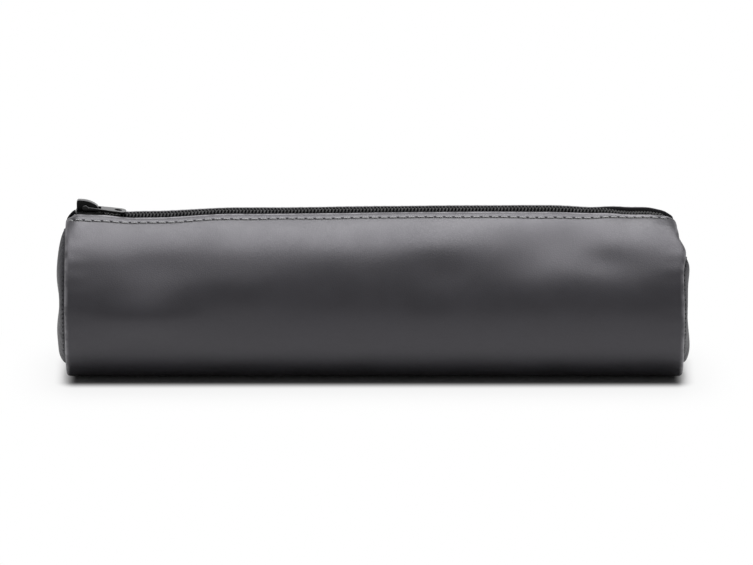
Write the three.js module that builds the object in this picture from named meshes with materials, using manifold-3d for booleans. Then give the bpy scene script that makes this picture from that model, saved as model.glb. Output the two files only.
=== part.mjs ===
// Round pencil case: a soft leather tube lying on its side, with a sewn-in disc at each end,
// a fabric lining, and a coil zip along the top. Millimetres, +Z up, +X along the tube, and
// the origin on the ground under the middle of the case. An angle round the tube is measured
// from its top and grows towards the front, which is -Y. The upper walls are lips that fold
// back along a line on each side when the zip is open.
import * as THREE from "three";
import { mergeVertices } from "three/addons/utils/BufferGeometryUtils.js";
import Module from "manifold-3d";

const wasm = await Module();
wasm.setup();

const { degToRad, smoothstep } = THREE.MathUtils;

// Leather tube
const RIM_TO_RIM = 197.4;
const TUBE_RADIUS = 26.5;
const GROUND_SAG = 0.5; // how far the case's own weight flattens its underside
const LEATHER = 1.3;
const SKIVED_LEATHER = 0.8; // the turned-in edges are pared thinner
const RIM_FOLD_RADIUS = 1.7;
const SEAM_ALLOWANCE = 7;
const MOUTH_HALF_WIDTH = 4.3; // from the middle of the zip to the edge of the leather
const LIP_FOLD_ANGLE = degToRad(65);
const FOLD_GAP = 0.3;

// End discs
const END_BULGE = 2.4; // how far a disc stands out past the rim
const END_GROOVE = 1.2; // how deep the seam lies behind the rim
const END_SEAM_GAP = 0.3;
const END_ROUNDNESS = 2.6; // exponent of the disc's rounded profile

// Lining
const LINING = 0.5;
const LINING_DEPTH = 2.4; // below the outer face of the leather
const LINING_HALF_LENGTH = 89;
const LINING_END_GAP = 0.3;

// Zip tape and coil
const TAPE = 0.5;
const TAPE_DEPTH = 1.5; // below the outer face of the leather
const TAPE_INNER_ANGLE = degToRad(1.6);
const TAPE_OUTER_ANGLE = degToRad(24);
const TAPE_HALF_LENGTH = 96.2;
const COIL_PITCH = 1.1;
const COIL_HALF_LENGTH = 95.2;
const COIL_HEIGHT = 1.4;
const COIL_HALF_WIDTH = 1.95;
const TOOTH_REACH = 0.35; // how far a tooth passes the middle of the closed zip
const TOOTH_ROOT = 0.7; // from the middle of the zip to where the teeth leave their row
const TOOTH_ROOT_WIDTH = 0.5;
const TOOTH_TIP_WIDTH = 0.4;

// Slider, with its nose to the left
const SLIDER_X = -91;
const SLIDER_LENGTH = 9.2;
const SLIDER_PLATE = 0.75;
const SLIDER_WALL = 0.55;
const SLIDER_CORNER = 1.1;
const CHANNEL_NOSE_HALF = 3.05;
const CHANNEL_TAIL_HALF = 2.12;
const CHANNEL_CLEARANCE = 0.15; // above the coil, and twice that below the tape, which curves down
const POST_HALF_WIDTH = 0.55;
const ROW_SPREAD = 0.95; // how far the post pushes each row aside
const SPREAD_FROM_X = SLIDER_X + 1.6;
const SPREAD_TO_X = SLIDER_X - 2;
const POST_NOSE_X = -3.9; // from the middle of the slider, as are the next five
const POST_BROAD_X = -2.5;
const POST_POINT_X = -0.9;
const SHOULDER_X = -1; // where the plates start to draw in
const HIP_X = 2.2; // where they are as narrow as the tail
const PAWL_X = 0.62;
const SLOT_HALF_LENGTH = 0.42;
const SLOT_HALF_WIDTH = 0.85;

// Crown, puller and lock spring, measured from the top of the slider above its middle
const CROWN_WIDTH = 2.2;
const CROWN_HEIGHT = 3.7;
const CROWN_NOSE_X = -4.3;
const CROWN_TAIL_X = 2.7;
const CROWN_WALL = 0.9;
const CROWN_HOLLOW_WIDTH = 1.2; // between its side walls, where the lock spring lies
const BAR_HOLE_RADIUS = 0.75;
const METAL_GAP = 0.1;
const SPRING = 0.22;
const SPRING_WIDTH = 0.9;
const PIVOT_X = -1.5;
const PIVOT_HEIGHT = 1.25;
const PULLER_LENGTH = 13.1;
const PULLER_PLATE = 0.8;
const PULLER_NECK_HALF = 1.95;
const PULLER_TAB_HALF = 2.25;
const PULLER_BAR_RADIUS = 0.5;
const PULLER_BOSS_RADIUS = 0.95;
const PULLER_EYE_START = 0.35;
const PULLER_EYE_END = 5;
const PULLER_EYE_HALF = 1.3;
const PULLER_ARM_END = 5.2;
const PULLER_TAB_START = 8.6;
const PULLER_TAB_ROUND = 1.6;
const PULLER_HOLE_X = 10.5;
const PULLER_HOLE_HALF_LENGTH = 1.25;
const PULLER_HOLE_HALF_WIDTH = 1.05;
const PULLER_REST_SLOPE = degToRad(7);

// Facets
const BASE_STEPS = 30;
const LIP_STEPS = 8;
const TAPE_STEPS = 4;
const BEND_STEPS = 3; // for each quarter of a fold
const END_STEPS = 9; // from the middle of a disc to its seam
const END_SEGMENTS = 40;
const BAR_SEGMENTS = 12;
const SPRING_STEPS = 18;

// Heights and lengths that follow
const AXIS_HEIGHT = TUBE_RADIUS - GROUND_SAG;
const RIM_X = RIM_TO_RIM / 2;
const LIP_EDGE_ANGLE = Math.asin(MOUTH_HALF_WIDTH / TUBE_RADIUS);
const FOLD_GAP_ANGLE = FOLD_GAP / TUBE_RADIUS;
const TAPE_TOP = AXIS_HEIGHT + TUBE_RADIUS - TAPE_DEPTH;
const COIL_BOTTOM = TAPE_TOP + METAL_GAP;
const COIL_TOP = COIL_BOTTOM + COIL_HEIGHT;
const CHANNEL_TOP = COIL_TOP + CHANNEL_CLEARANCE;
const CHANNEL_BOTTOM = TAPE_TOP - TAPE - 2 * CHANNEL_CLEARANCE - METAL_GAP;
const SLIDER_TOP = CHANNEL_TOP + SLIDER_PLATE;

// Turns a closed geometry round if its faces point inwards.
function facingOut(geometry) {
  const position = geometry.getAttribute("position");
  const index = geometry.getIndex();
  const [a, b, c] = [new THREE.Vector3(), new THREE.Vector3(), new THREE.Vector3()];
  let volume = 0;
  for (let i = 0; i < index.count; i += 3) {
    a.fromBufferAttribute(position, index.getX(i));
    b.fromBufferAttribute(position, index.getX(i + 1));
    c.fromBufferAttribute(position, index.getX(i + 2));
    volume += a.dot(b.cross(c));
  }
  if (volume < 0) {
    geometry.setIndex(Array.from(index.array).reverse());
  }
  return geometry;
}

// A point of the tube. Each layer rests as deep above the ground as it lies inside the leather.
function tubePoint(x, radius, angle) {
  const height = AXIS_HEIGHT + radius * Math.cos(angle);
  return [x, -radius * Math.sin(angle), Math.max(height, TUBE_RADIUS - radius)];
}

// A wall of the tube: a closed outline of (x, radius) points, listed anticlockwise, carried from
// one angle to another.
function wallAround(outline, fromAngle, toAngle, steps) {
  const count = outline.length;
  const points = [];
  const triangles = [];
  for (let step = 0; step <= steps; step++) {
    const angle = THREE.MathUtils.lerp(fromAngle, toAngle, step / steps);
    for (const { x, y } of outline) {
      points.push(...tubePoint(x, y, angle));
    }
  }
  for (let step = 0; step < steps; step++) {
    for (let i = 0; i < count; i++) {
      const near = step * count + i;
      const next = step * count + ((i + 1) % count);
      triangles.push(near, next, next + count, near, next + count, near + count);
    }
  }
  const last = steps * count;
  for (const [a, b, c] of THREE.ShapeUtils.triangulateShape(outline, [])) {
    triangles.push(a, c, b, last + a, last + b, last + c);
  }
  const geometry = new THREE.BufferGeometry();
  geometry.setAttribute("position", new THREE.Float32BufferAttribute(points, 3));
  geometry.setIndex(triangles);
  return facingOut(geometry);
}

// Section of the leather along the tube: the wall, a round fold at each rim, and the pared edge
// that turns back inside to be sewn to the end disc.
function leatherOutline() {
  const foldX = RIM_X - RIM_FOLD_RADIUS;
  const hemX = RIM_X - SEAM_ALLOWANCE;
  const foldMiddle = TUBE_RADIUS - RIM_FOLD_RADIUS;
  const hemFace = TUBE_RADIUS - 2 * RIM_FOLD_RADIUS;
  const hemBack = hemFace + SKIVED_LEATHER;
  const wallBack = TUBE_RADIUS - LEATHER;
  const innerMiddle = (hemBack + wallBack) / 2;
  const innerRadius = (wallBack - hemBack) / 2;
  const quarter = Math.PI / 2;
  const shape = new THREE.Shape();
  shape.moveTo(-hemX, hemFace);
  shape.lineTo(-foldX, hemFace);
  shape.absarc(-foldX, foldMiddle, RIM_FOLD_RADIUS, -quarter, quarter, true);
  shape.absarc(foldX, foldMiddle, RIM_FOLD_RADIUS, quarter, -quarter, true);
  shape.lineTo(hemX, hemFace);
  shape.lineTo(hemX, hemBack);
  shape.absarc(foldX, innerMiddle, innerRadius, -quarter, quarter, false);
  shape.absarc(-foldX, innerMiddle, innerRadius, quarter, 3 * quarter, false);
  shape.lineTo(-hemX, hemBack);
  return shape.getPoints(BEND_STEPS).reverse();
}

// Section of a plain layer of fabric along the tube.
function layerOutline(halfLength, depth, thickness) {
  const outside = TUBE_RADIUS - depth;
  const inside = outside - thickness;
  return [
    new THREE.Vector2(-halfLength, inside),
    new THREE.Vector2(halfLength, inside),
    new THREE.Vector2(halfLength, outside),
    new THREE.Vector2(-halfLength, outside),
  ];
}

// Lays a revolved shape along the tube with its face to one end, flattened below as the tube is.
function facingEnd(geometry, side) {
  geometry.rotateZ((-side * Math.PI) / 2);
  const position = geometry.getAttribute("position");
  for (let i = 0; i < position.count; i++) {
    const [x, y, z] = [position.getX(i), position.getY(i), position.getZ(i)];
    position.setXYZ(i, ...tubePoint(x, Math.hypot(y, z), Math.atan2(-y, z)));
  }
  return geometry;
}

// A leather end: a rounded disc that bulges past the rim, with its edge turned inside the tube's.
function endPanel(side) {
  const seamX = RIM_X - END_GROOVE;
  const outerRadius = TUBE_RADIUS - 2 * RIM_FOLD_RADIUS - END_SEAM_GAP;
  const innerRadius = outerRadius - LEATHER;
  const outerRise = END_BULGE + END_GROOVE;
  const hemX = RIM_X - SEAM_ALLOWANCE;
  const facePoint = (turn, radius, rise) =>
    new THREE.Vector2(radius * Math.sin(turn) ** (2 / END_ROUNDNESS), seamX + rise * Math.cos(turn));
  const outside = [];
  const inside = [];
  for (let step = 0; step <= END_STEPS; step++) {
    const turn = ((Math.PI / 2) * step) / END_STEPS;
    outside.push(facePoint(turn, outerRadius, outerRise));
    inside.unshift(facePoint(turn, innerRadius, outerRise - LEATHER));
  }
  const hem = [new THREE.Vector2(outerRadius, hemX), new THREE.Vector2(innerRadius, hemX)];
  return facingEnd(new THREE.LatheGeometry([...outside, ...hem, ...inside].reverse(), END_SEGMENTS), side);
}

// The lining's flat end, held inside the lining tube.
function endLining(side) {
  const radius = TUBE_RADIUS - LINING_DEPTH - LINING - LINING_END_GAP;
  const outside = LINING_HALF_LENGTH;
  const inside = outside - LINING;
  const profile = [
    new THREE.Vector2(0, inside),
    new THREE.Vector2(radius, inside),
    new THREE.Vector2(radius, outside),
    new THREE.Vector2(0, outside),
  ];
  return facingEnd(new THREE.LatheGeometry(profile, END_SEGMENTS), side);
}

// How far the slider's post has pushed a row of teeth aside at a place along the zip.
function rowSpread(x) {
  return ROW_SPREAD * (1 - smoothstep(x, SPREAD_TO_X, SPREAD_FROM_X));
}

// One row of the zip seen from above. The rows' teeth stand half a pitch apart, so that each
// tooth enters the gap between two of the other row.
function coilRow(side) {
  const start = -COIL_HALF_LENGTH;
  const teeth = Math.floor((2 * COIL_HALF_LENGTH) / COIL_PITCH) - 1;
  const firstX = start + (side > 0 ? COIL_PITCH : COIL_PITCH / 2);
  const shape = new THREE.Shape();
  const corner = (x, fromMiddle, spread) => shape.lineTo(x, side * (fromMiddle + spread));
  shape.moveTo(start, side * (COIL_HALF_WIDTH + ROW_SPREAD));
  corner(start, TOOTH_ROOT, ROW_SPREAD);
  for (let tooth = 0; tooth < teeth; tooth++) {
    const x = firstX + tooth * COIL_PITCH;
    const spread = rowSpread(x);
    corner(x - TOOTH_ROOT_WIDTH / 2, TOOTH_ROOT, spread);
    corner(x - TOOTH_TIP_WIDTH / 2, -TOOTH_REACH, spread);
    corner(x + TOOTH_TIP_WIDTH / 2, -TOOTH_REACH, spread);
    corner(x + TOOTH_ROOT_WIDTH / 2, TOOTH_ROOT, spread);
  }
  corner(COIL_HALF_LENGTH, TOOTH_ROOT, 0);
  corner(COIL_HALF_LENGTH, COIL_HALF_WIDTH, 0);
  const backSteps = 6;
  for (let step = 0; step <= backSteps; step++) {
    const x = THREE.MathUtils.lerp(SPREAD_FROM_X, SPREAD_TO_X, step / backSteps);
    corner(x, COIL_HALF_WIDTH, rowSpread(x));
  }
  return raised(shape, COIL_BOTTOM, COIL_HEIGHT);
}

// A flat outline given a thickness upwards from a height.
function raised(shape, bottom, height, curveSegments = 4) {
  const geometry = new THREE.ExtrudeGeometry(shape, { depth: height, bevelEnabled: false, curveSegments });
  geometry.translate(0, 0, bottom);
  return geometry;
}

// A side outline of (x, z) points given a width across the zip.
function acrossZip(shape, width, curveSegments = 5) {
  const geometry = new THREE.ExtrudeGeometry(shape, { depth: width, bevelEnabled: false, curveSegments });
  geometry.rotateX(Math.PI / 2);
  geometry.translate(0, width / 2, 0);
  return geometry;
}

// A closed geometry as a solid that can be joined and cut.
function solidOf(geometry) {
  geometry.deleteAttribute("normal");
  geometry.deleteAttribute("uv");
  const merged = mergeVertices(geometry, 1e-4);
  const vertProperties = new Float32Array(merged.getAttribute("position").array);
  const triVerts = new Uint32Array(merged.getIndex().array);
  return new wasm.Manifold(new wasm.Mesh({ numProp: 3, vertProperties, triVerts }));
}

function geometryOf(solid) {
  const mesh = solid.getMesh();
  const geometry = new THREE.BufferGeometry();
  geometry.setAttribute("position", new THREE.BufferAttribute(mesh.vertProperties, 3));
  geometry.setIndex(new THREE.BufferAttribute(mesh.triVerts, 1));
  return geometry;
}

// A slider plate seen from above: wide at the nose, drawn in to the tail.
function waistedOutline(noseHalf, tailHalf, length, corner) {
  const noseX = -length / 2;
  const tailX = length / 2;
  const waistX = (SHOULDER_X + HIP_X) / 2;
  const shape = new THREE.Shape();
  shape.moveTo(noseX + corner, -noseHalf);
  shape.lineTo(SHOULDER_X, -noseHalf);
  shape.bezierCurveTo(waistX, -noseHalf, waistX, -tailHalf, HIP_X, -tailHalf);
  shape.lineTo(tailX - corner, -tailHalf);
  shape.quadraticCurveTo(tailX, -tailHalf, tailX, corner - tailHalf);
  shape.lineTo(tailX, tailHalf - corner);
  shape.quadraticCurveTo(tailX, tailHalf, tailX - corner, tailHalf);
  shape.lineTo(HIP_X, tailHalf);
  shape.bezierCurveTo(waistX, tailHalf, waistX, noseHalf, SHOULDER_X, noseHalf);
  shape.lineTo(noseX + corner, noseHalf);
  shape.quadraticCurveTo(noseX, noseHalf, noseX, noseHalf - corner);
  shape.lineTo(noseX, corner - noseHalf);
  shape.quadraticCurveTo(noseX, -noseHalf, noseX + corner, -noseHalf);
  return shape;
}

// The wedge between the slider's plates that parts the two rows.
function postOutline() {
  const shape = new THREE.Shape();
  shape.moveTo(POST_NOSE_X, 0);
  shape.quadraticCurveTo(POST_NOSE_X, -POST_HALF_WIDTH, POST_BROAD_X, -POST_HALF_WIDTH);
  shape.lineTo(POST_POINT_X, 0);
  shape.lineTo(POST_BROAD_X, POST_HALF_WIDTH);
  shape.quadraticCurveTo(POST_NOSE_X, POST_HALF_WIDTH, POST_NOSE_X, 0);
  return shape;
}

// A rectangle about a middle, as a flat outline.
function rectangle(middleX, halfX, halfY) {
  const shape = new THREE.Shape();
  shape.moveTo(middleX - halfX, -halfY);
  shape.lineTo(middleX + halfX, -halfY);
  shape.lineTo(middleX + halfX, halfY);
  shape.lineTo(middleX - halfX, halfY);
  return shape;
}

// The slider casting: two plates joined by the post, with side walls that hold the rows, and
// a slot in the upper plate for the lock.
function sliderBody() {
  const plate = () =>
    waistedOutline(
      CHANNEL_NOSE_HALF + SLIDER_WALL,
      CHANNEL_TAIL_HALF + SLIDER_WALL,
      SLIDER_LENGTH,
      SLIDER_CORNER,
    );
  const tapeRoom = TAPE_TOP + CHANNEL_CLEARANCE;
  const upper = solidOf(raised(plate(), tapeRoom, SLIDER_TOP - tapeRoom));
  const lower = solidOf(raised(plate(), CHANNEL_BOTTOM - SLIDER_PLATE, SLIDER_PLATE));
  const past = 1; // how far a cut runs past what it cuts
  const channelLength = SLIDER_LENGTH + 2 * past;
  const channelShape = waistedOutline(CHANNEL_NOSE_HALF, CHANNEL_TAIL_HALF, channelLength, past / 10);
  const channel = solidOf(raised(channelShape, tapeRoom - past, CHANNEL_TOP - tapeRoom + past));
  const intoPlates = 0.2;
  const postHeight = CHANNEL_TOP - CHANNEL_BOTTOM + 2 * intoPlates;
  const post = solidOf(raised(postOutline(), CHANNEL_BOTTOM - intoPlates, postHeight));
  const slotShape = rectangle(PAWL_X, SLOT_HALF_LENGTH, SLOT_HALF_WIDTH);
  const slot = solidOf(raised(slotShape, CHANNEL_TOP - past, SLIDER_PLATE + 2 * past));
  return geometryOf(upper.subtract(channel).add(lower).add(post).subtract(slot));
}

// The crown over the slider that carries the puller: upright at the nose and sloping to the
// tail, with a hollow for the lock spring and a hole through its side walls for the bar.
function sliderCrown() {
  const innerNoseX = CROWN_NOSE_X + CROWN_WALL;
  const innerTailX = CROWN_TAIL_X - CROWN_WALL;
  const roof = CROWN_HEIGHT - CROWN_WALL;
  const kneeX = CROWN_TAIL_X - CROWN_WALL / 2; // where the slope turns down into the tail
  const kneeHeight = CROWN_HEIGHT / 2;
  const cap = new THREE.Shape();
  cap.moveTo(CROWN_NOSE_X, 0);
  cap.lineTo(CROWN_NOSE_X, roof);
  cap.quadraticCurveTo(CROWN_NOSE_X, CROWN_HEIGHT, innerNoseX, CROWN_HEIGHT);
  cap.quadraticCurveTo(0, CROWN_HEIGHT, kneeX, kneeHeight);
  cap.quadraticCurveTo(CROWN_TAIL_X, kneeHeight - CROWN_WALL / 2, CROWN_TAIL_X, 0);
  const past = 0.5; // how far the hollow runs down past the foot
  const hollow = new THREE.Shape();
  hollow.moveTo(innerTailX, -past);
  hollow.lineTo(innerTailX, 0);
  hollow.quadraticCurveTo(innerTailX, CROWN_WALL, kneeX - CROWN_WALL, kneeHeight - CROWN_WALL / 3);
  hollow.quadraticCurveTo(0, roof, innerNoseX + CROWN_WALL / 2, roof);
  hollow.quadraticCurveTo(innerNoseX, roof, innerNoseX, roof - CROWN_WALL / 2);
  hollow.lineTo(innerNoseX, -past);
  const holeLength = 2 * CROWN_WIDTH;
  const hole = new THREE.CylinderGeometry(BAR_HOLE_RADIUS, BAR_HOLE_RADIUS, holeLength, BAR_SEGMENTS);
  hole.translate(PIVOT_X, 0, PIVOT_HEIGHT - METAL_GAP);
  const outside = solidOf(acrossZip(cap, CROWN_WIDTH));
  const inside = solidOf(acrossZip(hollow, CROWN_HOLLOW_WIDTH));
  return geometryOf(outside.subtract(inside).subtract(solidOf(hole)));
}

// The leaf spring under the crown: it starts behind the nose, arches over the puller's bar and
// ends in a pawl that reaches down through the slot to the teeth.
function lockSpring() {
  const pawlTip = -SLIDER_PLATE - METAL_GAP / 2;
  const route = [
    [-3.15, 0.25],
    [-3.1, 1.5],
    [-2.4, 2.05],
    [-1.2, 2.06],
    [0.2, 1.5],
    [PAWL_X, 0.8],
    [PAWL_X, pawlTip],
  ];
  const path = new THREE.CatmullRomCurve3(route.map(([x, z]) => new THREE.Vector3(x, 0, z)));
  const strip = rectangle(0, SPRING_WIDTH / 2, SPRING / 2);
  return new THREE.ExtrudeGeometry(strip, { steps: SPRING_STEPS, extrudePath: path, bevelEnabled: false });
}

// The puller lying along +X from its bar: two arms past the crown, each with a round boss over
// the end of the bar, then a tab with a round hole.
function sliderPuller() {
  const shape = new THREE.Shape();
  const bendX = (PULLER_ARM_END + PULLER_TAB_START) / 2;
  const roundX = PULLER_LENGTH - PULLER_TAB_ROUND;
  shape.moveTo(0, -PULLER_NECK_HALF);
  shape.lineTo(PULLER_ARM_END, -PULLER_NECK_HALF);
  shape.bezierCurveTo(bendX, -PULLER_NECK_HALF, bendX, -PULLER_TAB_HALF, PULLER_TAB_START, -PULLER_TAB_HALF);
  shape.lineTo(roundX, -PULLER_TAB_HALF);
  shape.quadraticCurveTo(PULLER_LENGTH, -PULLER_TAB_HALF, PULLER_LENGTH, 0);
  shape.quadraticCurveTo(PULLER_LENGTH, PULLER_TAB_HALF, roundX, PULLER_TAB_HALF);
  shape.lineTo(PULLER_TAB_START, PULLER_TAB_HALF);
  shape.bezierCurveTo(bendX, PULLER_TAB_HALF, bendX, PULLER_NECK_HALF, PULLER_ARM_END, PULLER_NECK_HALF);
  shape.lineTo(0, PULLER_NECK_HALF);
  const eyeMiddle = (PULLER_EYE_START + PULLER_EYE_END) / 2;
  const eye = rectangle(eyeMiddle, eyeMiddle - PULLER_EYE_START, PULLER_EYE_HALF);
  const hole = new THREE.Path();
  hole.absellipse(PULLER_HOLE_X, 0, PULLER_HOLE_HALF_LENGTH, PULLER_HOLE_HALF_WIDTH, 0, 2 * Math.PI);
  shape.holes.push(eye, hole);
  const plate = solidOf(raised(shape, -PULLER_PLATE / 2, PULLER_PLATE));
  const barWidth = 2 * PULLER_NECK_HALF;
  const bar = new THREE.CylinderGeometry(PULLER_BAR_RADIUS, PULLER_BAR_RADIUS, barWidth, BAR_SEGMENTS);
  const bossWidth = PULLER_NECK_HALF - PULLER_EYE_HALF;
  let solid = plate.add(solidOf(bar));
  for (const side of [-1, 1]) {
    const boss = new THREE.CylinderGeometry(PULLER_BOSS_RADIUS, PULLER_BOSS_RADIUS, bossWidth, BAR_SEGMENTS);
    boss.translate(0, side * (PULLER_EYE_HALF + bossWidth / 2), 0);
    solid = solid.add(solidOf(boss));
  }
  return geometryOf(solid);
}

const leather = new THREE.MeshStandardMaterial({ color: 0x3c3d40, roughness: 0.5, metalness: 0 });
const lining = new THREE.MeshStandardMaterial({ color: 0x2b2c2f, roughness: 0.85, metalness: 0 });
const webbing = new THREE.MeshStandardMaterial({ color: 0x161618, roughness: 0.9, metalness: 0 });
const nylon = new THREE.MeshStandardMaterial({ color: 0x1e1f22, roughness: 0.4, metalness: 0 });
const blackMetal = new THREE.MeshStandardMaterial({ color: 0x1a1a1d, roughness: 0.25, metalness: 0.9 });

const pencilCase = new THREE.Group();

function addPiece(parent, name, geometry, material) {
  const mesh = new THREE.Mesh(geometry, material);
  mesh.name = name;
  parent.add(mesh);
  return mesh;
}

// Base of the tube, from one fold line down and round to the other
const leatherSection = leatherOutline();
const liningSection = layerOutline(LINING_HALF_LENGTH, LINING_DEPTH, LINING);
const tapeSection = layerOutline(TAPE_HALF_LENGTH, TAPE_DEPTH, TAPE);
const lipEnd = LIP_FOLD_ANGLE - FOLD_GAP_ANGLE / 2;
const baseStart = LIP_FOLD_ANGLE + FOLD_GAP_ANGLE / 2;
const baseEnd = 2 * Math.PI - baseStart;
addPiece(pencilCase, "body_panel", wallAround(leatherSection, baseStart, baseEnd, BASE_STEPS), leather);
addPiece(pencilCase, "body_lining", wallAround(liningSection, baseStart, baseEnd, BASE_STEPS), lining);

for (const [name, side] of [["left", -1], ["right", 1]]) {
  addPiece(pencilCase, `${name}_end_panel`, endPanel(side), leather);
  addPiece(pencilCase, `${name}_end_lining`, endLining(side), lining);
}

// Lips, each with its half of the zip
for (const [name, front] of [["front", 1], ["rear", -1]]) {
  const strip = (section, fromAngle, toAngle, steps) =>
    wallAround(section, front * fromAngle, front * toAngle, steps);
  const lip = new THREE.Group();
  addPiece(lip, `${name}_lip`, strip(leatherSection, LIP_EDGE_ANGLE, lipEnd, LIP_STEPS), leather);
  addPiece(lip, `${name}_lip_lining`, strip(liningSection, LIP_EDGE_ANGLE, lipEnd, LIP_STEPS), lining);
  const tape = strip(tapeSection, TAPE_INNER_ANGLE, TAPE_OUTER_ANGLE, TAPE_STEPS);
  addPiece(lip, `${name}_zip_tape`, tape, webbing);
  addPiece(lip, `${name}_zip_coil`, coilRow(-front), nylon);
  pencilCase.add(lip);
}

// Slider at the closed end of the zip, with its puller laid back along the teeth
const slider = new THREE.Group();
slider.position.set(SLIDER_X, 0, 0);
addPiece(slider, "slider_body", sliderBody(), blackMetal);
const bridge = new THREE.Group();
bridge.position.set(0, 0, SLIDER_TOP);
addPiece(bridge, "slider_crown", sliderCrown(), blackMetal).position.set(0, 0, METAL_GAP);
addPiece(bridge, "slider_lock_spring", lockSpring(), blackMetal);
const puller = addPiece(bridge, "slider_puller", sliderPuller(), blackMetal);
puller.position.set(PIVOT_X, 0, PIVOT_HEIGHT);
puller.rotation.set(0, PULLER_REST_SLOPE, 0);
slider.add(bridge);
pencilCase.add(slider);

export default pencilCase;
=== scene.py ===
"""Round pencil case of soft charcoal leather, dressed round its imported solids.

Lengths are worked out in millimetres, in the frame of the solids: +X along the tube, -Y to
the front, +Z up. An angle round the tube is measured from its top and grows to the front.
"""
import math

import bmesh
import bpy
import numpy as np
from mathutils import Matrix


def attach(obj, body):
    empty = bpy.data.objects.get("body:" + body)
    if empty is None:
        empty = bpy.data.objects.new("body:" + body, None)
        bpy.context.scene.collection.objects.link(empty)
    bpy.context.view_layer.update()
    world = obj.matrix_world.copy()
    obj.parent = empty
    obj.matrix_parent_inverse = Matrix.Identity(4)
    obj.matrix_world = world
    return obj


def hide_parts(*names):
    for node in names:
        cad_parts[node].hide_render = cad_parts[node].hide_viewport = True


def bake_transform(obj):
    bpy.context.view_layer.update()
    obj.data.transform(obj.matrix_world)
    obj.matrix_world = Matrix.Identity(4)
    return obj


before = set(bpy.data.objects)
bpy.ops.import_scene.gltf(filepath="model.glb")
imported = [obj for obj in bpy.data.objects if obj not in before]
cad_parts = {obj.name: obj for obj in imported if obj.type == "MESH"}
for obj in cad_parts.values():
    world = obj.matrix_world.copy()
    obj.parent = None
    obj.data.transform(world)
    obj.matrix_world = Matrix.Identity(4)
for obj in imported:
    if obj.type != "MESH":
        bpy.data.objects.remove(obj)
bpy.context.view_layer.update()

MM = 0.001
TURN = 2 * math.pi
SIDES = ((1, "front"), (-1, "rear"))
SHEET_SHARP = math.radians(50)

# Leather tube
RADIUS = 26.5
AXIS = 26.0
RIM = 98.7
FOLD = 1.7
FOLD_SQUARENESS = 3.0
LEATHER = 1.3
SKIVED = 0.8
HEM_END = RIM - 7.0
MOUTH_HALF_WIDTH = 4.3
LIP_EDGE = math.asin(MOUTH_HALF_WIDTH / RADIUS)
HINGE_ANGLE = 65.0
LOOSE_ANGLE = 25.0
GROUND_EASE = 0.25
GROUND_SINK = GROUND_EASE ** 2 / 90
LIP_CLOSE_REACH = 18.0
LIP_LIFT_REACH = 8.0
CORNER_REACH = 2.5

# Grid of the leather, from hem to hem and from the lip's edge down
FOLD_POINTS = 19
HEM_POINTS = 4
WALL_STEPS = 204
FINE_STRIP = 7.0
EDGE_POINTS = 6
STRIP_STEPS = 26
REST_STEPS = 100

# End discs
DISC_RADIUS = RADIUS - 2 * FOLD - 0.3
DISC_SEAM = RIM - 1.2
DISC_ROUNDNESS = 2.6
DISC_LEATHER = 1.0
DISC_HEM_END = DISC_SEAM - 5.2
DISC_HEM_TAPER = 0.2
DISC_POINTS = 34
DISC_HEM_STEPS = 5
DISC_SIDES = 144

# Zip
TAPE_OUTER = RADIUS - 1.5
TAPE = 0.5
TAPE_SINK = 0.06
TAPE_ANGLES = (1.6, 24.0)
TAPE_TONGUE = (0.15, 4.8)
TAPE_NARROWS = 92.0
REAR_NARROWS = 88.0
TAPER = 3.0
TONGUE_STOP = (-95.75, -95.65)
TAPE_TURN_X = 97.0
TAPE_TURN = 1.6
TAPE_TURN_ANGLE = math.radians(95)
TAPE_RIPPLE = 0.05
TAPE_RIPPLE_LENGTH = 3.1
COIL_PITCH = 1.1
COIL_END = 95.4
COIL_MIDDLE = (0.8, 51.8)
COIL_REACH = (0.92, 0.45)
COIL_SQUARENESS = (0.85, 0.7)
COIL_POINTS = 16
COIL_THREAD = 0.25
COIL_THREAD_SIDES = 6
FILLER_OFFSET = 0.12
FILLER_HALF = (0.62, 0.2)
FILLER_SIDES = 8
ROW_SPREAD = 0.95
ROW_SPREADS = ((-93.0, ROW_SPREAD), (-89.4, 0.0))

# Stitching
STITCH_PITCH = 2.95
STITCH_HALF = 1.12
STITCH_THREAD = (0.29, 0.24)
STITCH_RISE = 0.2
STITCH_DIVE = 0.55
STITCH_SLANT = 0.08
STITCH_FROM_RIM = 0.8
RIM_DIVE = 0.6 * FOLD
STITCH_LINE = ((62, 3.5), (82, 2.1))
STITCH_SWAY = 0.1
SWAY_LENGTH = 23.0
GROOVE = 0.22
GROOVE_REACH = 0.5
RIDGE = 0.1
RIDGE_PLACE = 0.54
RIDGE_REACH = 1.2
SEAM_STITCHES = 88
SEAM_STITCH_HALF = 0.45
SEAM_RADIUS = 21.2
SEAM_THREAD_HALF = 0.2
SEAM_RISE = 0.1
SEAM_DIVE = 0.35
SEAM_CLEAR_ANGLE = LIP_EDGE + 0.03
THREAD_SIDES = 6

# Lining
LINING_OUTER = RADIUS - 2.4
LINING = 0.5
LINING_END = 88.9
LINING_SLACK = 0.25
END_LINING_RADIUS = LINING_OUTER - 0.8
END_LINING_X = LINING_END - 0.2
END_LINING = LINING / 2
END_LINING_SIDES = 96
DRAWN_IN = 0.05
DRAWN_SPAN = 0.35

# Mouth: where the open zip lets the lips part
MOUTH_FROM = -95.6
MOUTH_TO = 80.0
MOUTH_EASE = 0.15


def smooth(t):
    """Ease from 0 to 1: three t squared less two t cubed, with t held between 0 and 1."""
    t = np.clip(t, 0, 1)
    return t * t * (3 - 2 * t)


def bell(t):
    """Bell: e to the power of minus t squared."""
    return np.exp(-t * t)


def eased(at, knots):
    """Chain of eases: between each two knots' places the value eases from one to the next."""
    links = zip(knots, knots[1:])
    return knots[0][1] + sum((b - a) * smooth((at - p) / (q - p)) for (p, a), (q, b) in links)


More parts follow.
